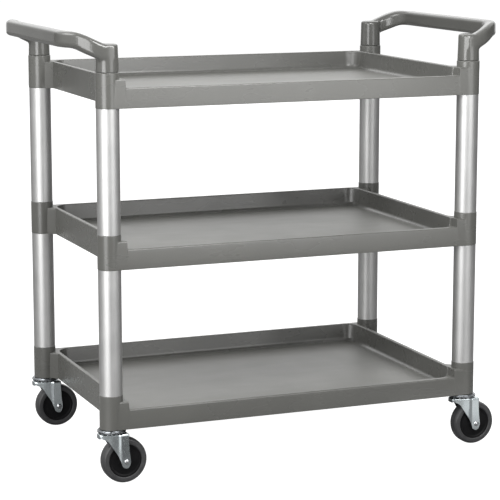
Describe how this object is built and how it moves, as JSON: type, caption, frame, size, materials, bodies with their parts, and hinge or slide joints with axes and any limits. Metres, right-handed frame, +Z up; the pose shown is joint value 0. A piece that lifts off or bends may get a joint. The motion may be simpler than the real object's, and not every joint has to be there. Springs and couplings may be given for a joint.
{
  "type": "food service trolley",
  "caption": "Wheeled food service trolley: moulded tray shelves on round metal posts, a loop handle at each end, and swivel casters that roll freely.",
  "frame": {"origin": "on the floor, under the middle of the trolley", "axes": "+X along the length from the left handle to the right one, +Y across the depth towards the tall back walls of the shelves, +Z up"},
  "size_m": [1.05, 0.583, 0.9853],
  "materials": {
    "shelf_plastic": "satin moulded, warm dark grey",
    "handle_plastic": "satin moulded, dark grey",
    "post_aluminium": "satin anodised tube",
    "zinc_plated_steel": "bright zinc plate",
    "bright_fastener": "bright plated",
    "bearing_steel": "ground",
    "nylon": "natural",
    "hub_plastic": "black, satin",
    "tyre_rubber": "dark grey, matt"
  },
  "bodies": {
    "root": {"top_shelf": "shelf_plastic", "middle_shelf": "shelf_plastic", "bottom_shelf": "shelf_plastic", "left_handle": "handle_plastic", "right_handle": "handle_plastic", "front_left_upper_post": "post_aluminium", "front_right_upper_post": "post_aluminium", "back_left_upper_post": "post_aluminium", "back_right_upper_post": "post_aluminium", "front_left_lower_post": "post_aluminium", "front_right_lower_post": "post_aluminium", "back_left_lower_post": "post_aluminium", "back_right_lower_post": "post_aluminium", "front_left_stem_socket": "nylon", "front_left_stem": "bearing_steel", "front_left_upper_race": "zinc_plated_steel", "front_right_stem_socket": "nylon", "front_right_stem": "bearing_steel", "front_right_upper_race": "zinc_plated_steel", "back_left_stem_socket": "nylon", "back_left_stem": "bearing_steel", "back_left_upper_race": "zinc_plated_steel", "back_right_stem_socket": "nylon", "back_right_stem": "bearing_steel", "back_right_upper_race": "zinc_plated_steel"},
    "front_left_caster": {"front_left_swivel_balls": "bearing_steel", "front_left_fork": "zinc_plated_steel", "front_left_axle_bolt": "bright_fastener", "front_left_axle_nut": "bright_fastener", "front_left_axle_sleeve": "bearing_steel"},
    "front_left_wheel": {"front_left_hub": "hub_plastic", "front_left_tyre": "tyre_rubber"},
    "front_right_caster": {"front_right_swivel_balls": "bearing_steel", "front_right_fork": "zinc_plated_steel", "front_right_axle_bolt": "bright_fastener", "front_right_axle_nut": "bright_fastener", "front_right_axle_sleeve": "bearing_steel"},
    "front_right_wheel": {"front_right_hub": "hub_plastic", "front_right_tyre": "tyre_rubber"},
    "back_left_caster": {"back_left_swivel_balls": "bearing_steel", "back_left_fork": "zinc_plated_steel", "back_left_axle_bolt": "bright_fastener", "back_left_axle_nut": "bright_fastener", "back_left_axle_sleeve": "bearing_steel"},
    "back_left_wheel": {"back_left_hub": "hub_plastic", "back_left_tyre": "tyre_rubber"},
    "back_right_caster": {"back_right_swivel_balls": "bearing_steel", "back_right_fork": "zinc_plated_steel", "back_right_axle_bolt": "bright_fastener", "back_right_axle_nut": "bright_fastener", "back_right_axle_sleeve": "bearing_steel"},
    "back_right_wheel": {"back_right_hub": "hub_plastic", "back_right_tyre": "tyre_rubber"}
  },
  "joints": [
    {"name": "front_left_swivel", "type": "hinge", "parent": "root", "child": "front_left_caster", "pos_m": [-0.43, -0.26, 0.1136], "axis": [0, 0, 1], "continuous": true},
    {"name": "front_left_roll", "type": "hinge", "parent": "front_left_caster", "child": "front_left_wheel", "pos_m": [-0.4035, -0.26, 0.0508], "axis": [0, 1, 0], "continuous": true},
    {"name": "front_right_swivel", "type": "hinge", "parent": "root", "child": "front_right_caster", "pos_m": [0.43, -0.26, 0.1136], "axis": [0, 0, 1], "continuous": true},
    {"name": "front_right_roll", "type": "hinge", "parent": "front_right_caster", "child": "front_right_wheel", "pos_m": [0.4565, -0.26, 0.0508], "axis": [0, 1, 0], "continuous": true},
    {"name": "back_left_swivel", "type": "hinge", "parent": "root", "child": "back_left_caster", "pos_m": [-0.43, 0.26, 0.1136], "axis": [0, 0, 1], "continuous": true},
    {"name": "back_left_roll", "type": "hinge", "parent": "back_left_caster", "child": "back_left_wheel", "pos_m": [-0.4035, 0.26, 0.0508], "axis": [0, 1, 0], "continuous": true},
    {"name": "back_right_swivel", "type": "hinge", "parent": "root", "child": "back_right_caster", "pos_m": [0.43, 0.26, 0.1136], "axis": [0, 0, 1], "continuous": true},
    {"name": "back_right_roll", "type": "hinge", "parent": "back_right_caster", "child": "back_right_wheel", "pos_m": [0.4565, 0.26, 0.0508], "axis": [0, 1, 0], "continuous": true}
  ]
}
